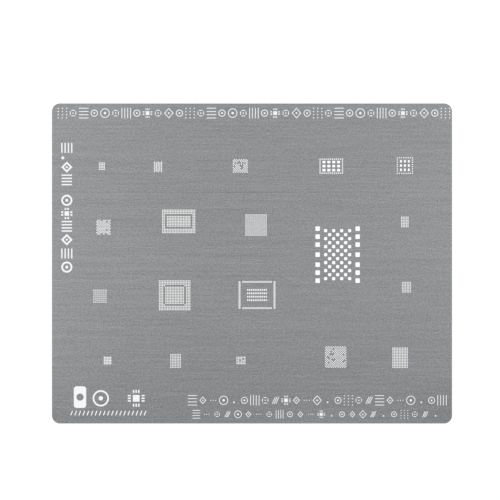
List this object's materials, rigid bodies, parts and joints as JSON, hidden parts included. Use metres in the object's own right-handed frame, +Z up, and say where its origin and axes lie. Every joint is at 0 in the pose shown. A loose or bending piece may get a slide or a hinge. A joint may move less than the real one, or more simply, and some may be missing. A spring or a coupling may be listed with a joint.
{
  "type": "solder paste stencil",
  "caption": "Thin flat rectangular steel sheet with rounded corners, cut through by fields of small square apertures that meter solder paste onto chip and board lands.",
  "frame": {"origin": "centre of the underside, the face laid on the board", "axes": "+X along the long edge, +Y along the short edge, +Z up through the sheet out of the face the squeegee wipes"},
  "size_m": [0.1, 0.08, 0.0001],
  "materials": {
    "steel": "fine matt rolled finish with a faint lengthwise grain"
  },
  "bodies": {
    "root": {"stencil_sheet": "steel"}
  },
  "joints": []
}
